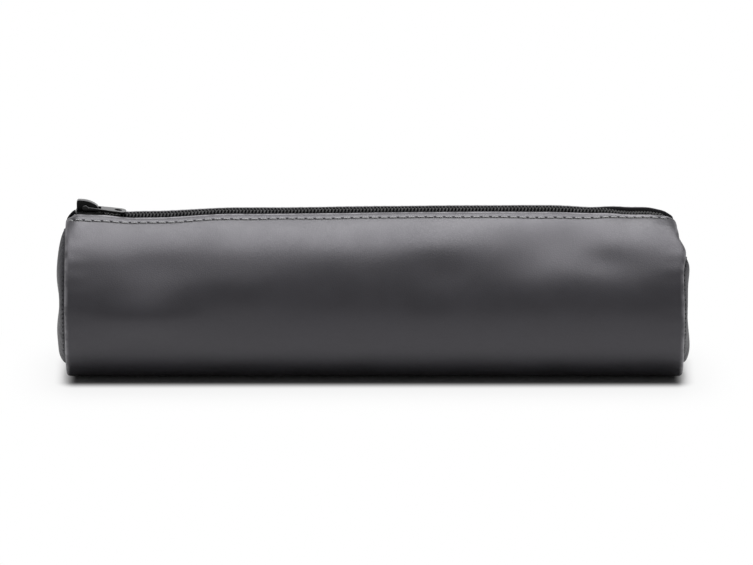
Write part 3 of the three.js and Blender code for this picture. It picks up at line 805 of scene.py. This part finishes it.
def leather_half(side):
    """Half of the tube's leather, from the lip's edge down to the underside. Its grid is the
    hem-to-hem path times the distance from the edge. The cut edge is nearly square: the half
    thickness is multiplied by the fourth root of one less a fourth power. A bell-shaped groove
    holds the stitches, and the strip above it is a little raised."""
    x, radius, facing_x, facing_r, thick = panel_path()
    half = LEATHER / 2
    rounding = half * (1 - np.cos(np.linspace(0.12, math.pi / 2, EDGE_POINTS)))
    strip = np.linspace(half, FINE_STRIP, STRIP_STEPS + 1)[1:]
    rest = np.linspace(FINE_STRIP, RADIUS * (math.pi - LIP_EDGE), REST_STEPS + 1)[1:]
    arc = np.concatenate([rounding, strip, rest])[:, None]
    full = (1 - np.clip(1 - arc / half, 0, 1) ** 4) ** 0.25
    wall = smooth((facing_r + 0.2) / 1.2)
    lift = lip_lift(side, x, arc)
    seam = eased(x, STITCH_LINE)
    ridge = RIDGE * bell((arc - RIDGE_PLACE * seam) / RIDGE_REACH)
    groove = GROOVE * bell((arc - seam - seam_sway(x)) / GROOVE_REACH)
    press = wall * (ridge - groove)
    angle = side * from_edge(x, arc)
    middle = thick / 2
    over = middle * (full - 1)
    under = middle * (1 + full)
    outer = settled(tube(x + facing_x * over, radius + facing_r * over + lift + press, angle))
    inner = settled(tube(x - facing_x * under, radius - facing_r * under + lift, angle))
    run = length_run(x, radius)
    lay = np.stack(np.broadcast_arrays(run - run[-1] / 2, arc), -1) * MM
    share = fold_share(x, angle)
    return shell(outer, inner, lay), np.tile(share.ravel(), 2)


for side, word in SIDES:
    skin, share = leather_half(side)
    made = piece(f"{word}_leather", skin, PANEL_LEATHER)
    bend_with_lip(made)
    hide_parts(f"{word}_lip", "body_panel")


# Gathers round a disc's rim: how many there are, their share of the height, and their start
GATHERS = ((34, 1.0, 0.0), (21, 0.7, 1.1), (55, 0.5, 2.3))
GATHER = 0.09
GATHER_OUT = ((14, 0.0), (23, 1.0))
FACE_EASE = 1.5
# Each dent: place in depth, place below the axis, height and half width
LEFT_DENTS = ((10, 0, -1.1, 6), (0, 3, -1.1, 6), (-10, 6, -1.0, 6), (8, 14, 0.3, 7), (3, 21, 1.0, 5))
RIGHT_DENTS = ((10, 2, -0.5, 6), (-2, 4, -0.5, 6), (4, 19, 1.2, 7), (-8, -6, -0.4, 8))
# Each end: its name, its side, how far its disc swells past the rim, and the dents
ENDS = (("left", -1, 3.4, LEFT_DENTS), ("right", 1, 2.3, RIGHT_DENTS))


def disc_height(radius, bulge):
    """Place along the tube of a disc's face: with t such that the radius is a power of the
    sine of t, the seam's place plus the depth times the cosine of t."""
    sine = (radius / DISC_RADIUS) ** (DISC_ROUNDNESS / 2)
    return DISC_SEAM + (bulge + RIM - DISC_SEAM) * np.sqrt(1 - sine ** 2)


def end_disc(side, bulge, dents):
    """Leather disc: along its face the radius is a power of the sine of t and the height the
    cosine of t, then the hem runs straight in. Round the rim the face is gathered by a sum of
    sines that fades towards the middle, and each dent is a bell in height and depth."""
    t = np.linspace(0.02, math.pi / 2, DISC_POINTS)
    hem = np.linspace(0, 1, DISC_HEM_STEPS + 1)[1:]
    depth = bulge + RIM - DISC_SEAM
    face_radius = DISC_RADIUS * np.sin(t) ** (2 / DISC_ROUNDNESS)
    radius = np.concatenate([face_radius, DISC_RADIUS - DISC_HEM_TAPER * hem])
    face_out = DISC_SEAM + depth * np.cos(t)
    out = np.concatenate([face_out, DISC_SEAM + (DISC_HEM_END - DISC_SEAM) * hem])
    slope = np.stack([np.gradient(radius), np.gradient(out)])
    slope /= np.linalg.norm(slope, axis=0)
    turn = np.arange(DISC_SIDES) * TURN / DISC_SIDES
    gather = sum(share * np.sin(count * turn + start) for count, share, start in GATHERS)
    face = smooth((out - DISC_SEAM) / FACE_EASE)[:, None]
    wave = GATHER * gather * eased(radius, GATHER_OUT)[:, None] * face
    low = -(radius[:, None] * np.cos(turn))
    near = radius[:, None] * np.sin(turn)
    for at_near, at_low, height, span in dents:
        wave = wave + height * bell((near - at_near) / span) * bell((low - at_low) / span) * face
    skins = []
    for under in (0, DISC_LEATHER):
        ring = np.maximum(radius[:, None] + slope[1][:, None] * under, 0.05)
        height = out[:, None] - slope[0][:, None] * under + wave
        skins.append(settled(tube(side * height, ring, turn)))
    reach = length_run(radius, out)[:, None]
    return round_shell(skins[0], skins[1], disc_lay(reach, DISC_SIDES))


for word, side, bulge, dents in ENDS:
    made = piece(f"{word}_end_disc", end_disc(side, bulge, dents), END_LEATHER)
    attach(made, "case")
    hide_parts(f"{word}_end_panel")


def seam_stitches(side, bulge):
    """Threads of an end seam: each lies along the disc's edge, dives at its ends with the
    square of the place along it, and they are spaced evenly round it."""
    turn = (np.arange(SEAM_STITCHES) + 0.5) * TURN / SEAM_STITCHES
    keep = np.abs((turn + math.pi) % TURN - math.pi) > SEAM_CLEAR_ANGLE
    t = np.linspace(-1, 1, 7)
    x = side * (disc_height(SEAM_RADIUS, bulge) + SEAM_RISE - SEAM_DIVE * t * t)
    around = turn[keep][:, None] + SEAM_STITCH_HALF / SEAM_RADIUS * t
    paths = settled(tube(x, SEAM_RADIUS, around))
    return strands(paths, np.array([1.0, 0, 0]), SEAM_THREAD_HALF, SEAM_THREAD_HALF, THREAD_SIDES)


for word, side, bulge, dents in ENDS:
    made = piece(f"{word}_seam_thread", seam_stitches(side, bulge), SEAM_THREAD)
    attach(made, "case")


def top_stitches(side):
    """Topstitching beside the zip: each stitch lies along the groove, level in its middle and
    diving at its ends with the sixth power of the place along it."""
    first = math.ceil((STITCH_FROM_RIM - RIM) / STITCH_PITCH)
    middle = np.arange(first, -first) * STITCH_PITCH
    t = np.linspace(-1, 1, 9)
    x = middle[:, None] + STITCH_HALF * t
    arc = eased(x, STITCH_LINE) + seam_sway(x) + STITCH_SLANT * t
    over = RIM_DIVE * (1 - np.sqrt(smooth((RIM - np.abs(x)) / FOLD)))
    raised = STITCH_RISE - STITCH_DIVE * t ** 6 - over + lip_lift(side, x, arc)
    angle = side * from_edge(x, arc)
    paths = settled(tube(x, RADIUS - GROOVE + raised, angle))
    upright = np.stack([0 * angle, -np.sin(angle), np.cos(angle)], -1)
    share = np.repeat(fold_share(x, angle).ravel(), THREAD_SIDES)
    return strands(paths, upright, *STITCH_THREAD, THREAD_SIDES), share


for side, word in SIDES:
    skin, share = top_stitches(side)
    made = piece(f"{word}_topstitch", skin, TOP_THREAD)
    bend_with_lip(made)


# Zip


def zip_tape(side):
    """Half of the zip's tape: straight along the tube, tapering at each end to a tongue that
    is drawn up by an ease and turns down round an arc into the end seam. The left tongue
    stops at the slider, and the rear half tapers sooner at the right. Across, it runs from
    the coil to under the leather."""
    tongue = np.linspace(-TAPE_TURN_X, TONGUE_STOP[0], 4)
    straight = np.concatenate([tongue, np.linspace(TONGUE_STOP[1], TAPE_TURN_X, 238)])
    turn = np.linspace(0, TAPE_TURN_ANGLE, 11)[1:]
    end = TAPE_TURN_X + TAPE_TURN * np.sin(turn)
    x = np.concatenate([-end[::-1], straight, end])
    drop = TAPE_TURN * (1 - np.cos(turn))
    raised = eased(x, TAPE_LIFTS) - eased(x, ZIP_DIP)
    radius = TAPE_OUTER + raised - np.concatenate([drop[::-1], 0 * straight, drop])
    slope = np.concatenate([-turn[::-1], 0 * straight, turn])
    narrows = np.where((x > 0) & (side < 0), REAR_NARROWS, TAPE_NARROWS)
    taper = smooth((np.abs(x) - narrows) / TAPER)
    inner_edge = TAPE_ANGLES[0] + (TAPE_TONGUE[0] - TAPE_ANGLES[0]) * taper
    outer_edge = TAPE_ANGLES[1] + (TAPE_TONGUE[1] - TAPE_ANGLES[1]) * taper
    across = np.linspace(0, 1, 15)[:, None]
    angle = side * np.radians(inner_edge + (outer_edge - inner_edge) * across)
    ripple = TAPE_RIPPLE * np.sin(x / TAPE_RIPPLE_LENGTH + 2 * across) * np.sin(math.pi * across)
    face = radius - TAPE_SINK + ripple * (1 - taper)
    outer = settled(tube(x, face, angle))
    inner = settled(tube(x - TAPE * np.sin(slope), face - TAPE * np.cos(slope), angle))
    run = length_run(x, radius)
    lay = np.stack(np.broadcast_arrays(run, np.abs(angle) * TAPE_OUTER), -1) * MM
    share = np.broadcast_to(mouth(x), angle.shape)
    return shell(outer, inner, lay), np.tile(share.ravel(), 2)


def row_path(x, y, z):
    """Path along a row of the coil: z is raised by the slope across the zip times y, and
    lowered by the zip's dip."""
    return settled(np.stack([x, y, z + eased(x, COIL_TILT) * y - eased(x, ZIP_DIP)], -1))[None]


def coil_row(side):
    """Row of the zip's coil: a thread wound round a flattened oval, whose place along the zip
    grows evenly with the turns. Near the slider's nose the row moves aside along an ease."""
    turns = int(2 * COIL_END / COIL_PITCH)
    phase = np.arange(turns * COIL_POINTS + 1) * TURN / COIL_POINTS
    x = -COIL_END + COIL_PITCH * phase / TURN + (0 if side > 0 else COIL_PITCH / 2)
    wave_y, wave_z = np.cos(phase), np.sin(phase)
    flat_y = np.sign(wave_y) * np.abs(wave_y) ** COIL_SQUARENESS[0]
    flat_z = -np.sign(wave_z) * np.abs(wave_z) ** COIL_SQUARENESS[1]
    y = -side * (COIL_MIDDLE[0] + eased(x, ROW_SPREADS) - COIL_REACH[0] * flat_y)
    path = row_path(x, y, COIL_MIDDLE[1] + COIL_REACH[1] * flat_z)
    wound = strands(path, np.array([1.0, 0, 0]), COIL_THREAD, COIL_THREAD, COIL_THREAD_SIDES)
    return wound, np.repeat(mouth(x), COIL_THREAD_SIDES)


def filler_cord(side):
    """Flat cord inside the coil: an ellipse along the row, which it follows past the slider."""
    x = np.linspace(-COIL_END, COIL_END, 240)
    y = -side * (COIL_MIDDLE[0] + FILLER_OFFSET + eased(x, ROW_SPREADS))
    path = row_path(x, y, COIL_MIDDLE[1])
    cord = strands(path, np.array([0, 0, 1.0]), *FILLER_HALF, FILLER_SIDES)
    return cord, np.repeat(mouth(x), FILLER_SIDES)


for side, word in SIDES:
    skin, share = zip_tape(side)
    made = piece(f"{word}_tape", skin, TAPE_CLOTH)
    bend_with_lip(made)
    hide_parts(f"{word}_zip_tape")
    skin, share = coil_row(side)
    made = piece(f"{word}_coil", skin, COIL_NYLON)
    bend_with_lip(made)
    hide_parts(f"{word}_zip_coil")
    skin, share = filler_cord(side)
    made = piece(f"{word}_filler_cord", skin, TAPE_CLOTH)
    bend_with_lip(made)


# Lining


def lining_half(side):
    """Half of the tube's lining: a sheet inside the leather, from the zip down to the
    underside, with slack given by a product of sines that only moves it inwards."""
    x = np.linspace(-LINING_END, LINING_END, 150)
    arc = np.linspace(LIP_EDGE + 0.01, math.pi, 90)[:, None]
    wave = np.sin(x / 9 + 4 * arc) * np.sin(7 * arc - x / 15)
    face = LINING_OUTER - LINING_SLACK * (1 + wave) * np.sin(arc)
    angle = side * arc
    outer = settled(tube(x, face, angle))
    inner = settled(tube(x, face - LINING, angle))
    x, arc = np.broadcast_arrays(x, arc)
    skin = shell(outer, inner, np.stack([x, arc * LINING_OUTER], -1) * MM)
    return skin, np.tile(fold_share(x, angle).ravel(), 2)


def end_lining(side):
    """Round end of the lining: flat rings with a slack of sines that grows from the middle.
    Round its top the rings are drawn in by a bell, clear of the slider."""
    ring = np.concatenate([[0.2], np.linspace(1.5, END_LINING_RADIUS, 22)])[:, None]
    turn = np.arange(END_LINING_SIDES) * TURN / END_LINING_SIDES
    drawn = ring * (1 - DRAWN_IN * bell(np.minimum(turn, TURN - turn) / DRAWN_SPAN))
    slack = 0.12 * np.sin(5 * turn + 0.6) * np.sin(ring / 5)
    slack = slack + 0.08 * np.sin(9 * turn) * ring / END_LINING_RADIUS
    outer = settled(tube(side * (END_LINING_X + slack), drawn, turn))
    inner = settled(tube(side * (END_LINING_X - END_LINING + slack), drawn, turn))
    return round_shell(outer, inner, disc_lay(ring, END_LINING_SIDES))


for side, word in SIDES:
    skin, share = lining_half(side)
    made = piece(f"{word}_lining", skin, LINING_CLOTH)
    bend_with_lip(made)
    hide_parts(f"{word}_lip_lining", "body_lining")
for word, side, bulge, dents in ENDS:
    made = piece(f"{word}_end_cloth", end_lining(side), LINING_CLOTH)
    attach(made, "case")
    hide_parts(f"{word}_end_lining")


# Slider

CAST_FLAT = math.radians(1)
CAST_SHARP = math.radians(35)


def cast(node, body, finish, edge):
    """Cast or stamped part: a copy of the solid's mesh with its points merged, its flat faces
    joined and its edges rounded."""
    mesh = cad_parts[node].data.copy()
    shape = bmesh.new()
    shape.from_mesh(mesh)
    bmesh.ops.remove_doubles(shape, verts=shape.verts, dist=1e-6)
    bmesh.ops.dissolve_limit(shape, angle_limit=CAST_FLAT, verts=shape.verts, edges=shape.edges)
    for face in shape.faces:
        face.smooth = True
    shape.to_mesh(mesh)
    shape.free()
    mesh.set_sharp_from_angle(angle=CAST_SHARP)
    mesh.materials.clear()
    mesh.materials.append(finish)
    made = bpy.data.objects.new(node + "_cast", mesh)
    bpy.context.scene.collection.objects.link(made)
    rounded = made.modifiers.new("rounded", "BEVEL")
    rounded.width = edge * MM
    rounded.segments = 2
    rounded.limit_method = "ANGLE"
    rounded.angle_limit = CAST_SHARP
    rounded.harden_normals = True
    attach(made, body)
    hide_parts(node)


cast("slider_body", "slider", DULL_LACQUER, 0.14)
cast("slider_crown", "slider", BLACK_LACQUER, 0.2)
cast("slider_puller", "puller", POLISHED_LACQUER, 0.12)
cast("slider_lock_spring", "slider", SPRING_STEEL, 0.03)


# Studio

FLOOR_HALF = 3000.0
FLOOR_BACK = 1000.0
FLOOR_GAP = 0.1
FLOOR_POINTS = 5
FLOOR_TONES = ((0.78, 0.78, 0.78, 1), (0.8, 0.8, 0.8, 1))
HORIZON = 0.5
AMBIENT = 0.1
FOOTPRINT = (0.0955, 0.012, 1.0)
# Distances from the case over which the floor turns white, in millimetres
SHADOW_FADE = (0.0, 7.8)
SHADOW_TAIL = (6.0, 40.0)
MIRROR_FADE = (5.0, 19.0)
MIRROR_DIM = (50.0, 250.0)


def background(tree):
    """Shares of rays that see the white studio: camera and transmission rays, and glossy ones."""
    rays = put(tree, "LightPath").outputs
    seen = sum_of(tree, "MAXIMUM", rays["Is Camera Ray"], rays["Is Transmission Ray"])
    return seen, rays["Is Glossy Ray"]


def floor():
    """Flat white floor just under the case: a grid of level points. For the camera and in
    reflections it turns plain white, by eases with the distance from the case, and its
    reflection dims again further off."""
    span = np.linspace(-FLOOR_HALF, FLOOR_HALF, FLOOR_POINTS)
    x, y = np.meshgrid(span, span + FLOOR_BACK, indexing="ij")
    faces, _ = grid(FLOOR_POINTS, FLOOR_POINTS)
    flat = np.stack([x, y, np.full_like(x, -FLOOR_GAP)], -1).reshape(-1, 3)
    finish, tree, shader = new_finish("studio_floor", Roughness=0.9, Specular_IOR_Level=0.1)
    place = put(tree, "TexCoord").outputs["Object"]
    dust = noise(tree, place, 3.0, 2.0)
    tree.links.new(blend_of(tree, dust, *FLOOR_TONES), shader.inputs["Base Color"])
    past = vector_of(tree, "SUBTRACT", vector_of(tree, "ABSOLUTE", place)[0], FOOTPRINT)[0]
    away = vector_of(tree, "LENGTH", vector_of(tree, "MAXIMUM", past, (0, 0, 0))[0])["Value"]
    near, far = fade(tree, away, SHADOW_FADE, 0.0, 0.88), fade(tree, away, SHADOW_TAIL, 0.0, 0.12)
    seen, mirrored = background(tree)
    bright = sum_of(tree, "MULTIPLY", mirrored, fade(tree, away, MIRROR_FADE, 0.0, 1.0))
    share = sum_of(tree, "MULTIPLY_ADD", seen, sum_of(tree, "ADD", near, far), bright)
    dim = sum_of(tree, "MULTIPLY", mirrored, fade(tree, away, MIRROR_DIM, 0.0, 1 - HORIZON))
    white = put(tree, "Emission", {"Strength": sum_of(tree, "SUBTRACT", 1.0, dim)}).outputs[0]
    both = put(tree, "MixShader", {0: share, 1: shader.outputs[0], 2: white})
    tree.links.new(both.outputs[0], tree.nodes["Material Output"].inputs["Surface"])
    made = piece("studio_floor", (flat, faces[:, ::-1], np.zeros((len(faces), 4, 2))), finish)


floor()

world = bpy.data.worlds.new("studio")
bpy.context.scene.world = world
world.use_nodes = True
sky = world.node_tree
seen, mirrored = background(sky)
level = put(sky, "MapRange", {0: mirrored, 3: AMBIENT, 4: HORIZON}).outputs[0]
sky.links.new(sum_of(sky, "MAXIMUM", level, seen), sky.nodes["Background"].inputs["Strength"])
sky.nodes["Background"].inputs["Color"].default_value = (1, 1, 1, 1)


def softbox(name, place, size, brightness):
    """Rectangular lamp that faces the case: its power is pi times area times brightness."""
    lamp = bpy.data.lights.new(name, "AREA")
    lamp.shape = "RECTANGLE"
    lamp.size, lamp.size_y = size
    lamp.energy = math.pi * size[0] * size[1] * brightness
    made = bpy.data.objects.new(name, lamp)
    made.location = place
    aim = np.array([0, 0, 0.03]) - np.array(place)
    flat = math.hypot(aim[0], aim[1])
    made.rotation_euler = (math.atan2(flat, -aim[2]), 0, math.atan2(aim[1], aim[0]) - math.pi / 2)
    bpy.context.scene.collection.objects.link(made)


softbox("top_softbox", (0, 0.1, 1.0), (0.6, 1.4), 6.2)

# Camera
ELEVATION = math.radians(16.0)
DISTANCE = 3.0
AIM = (0.0005, 0.0, 0.0296)
camera = bpy.data.objects.new("camera", bpy.data.cameras.new("camera"))
camera.data.sensor_width = 36
camera.data.lens = 447.7
camera.data.clip_end = 20.0
camera.location = (AIM[0], -DISTANCE * math.cos(ELEVATION), AIM[2] + DISTANCE * math.sin(ELEVATION))
camera.rotation_euler = (math.pi / 2 - ELEVATION, 0, 0)
bpy.context.scene.collection.objects.link(camera)
bpy.context.scene.camera = camera
bpy.context.scene.view_settings.view_transform = "Standard"
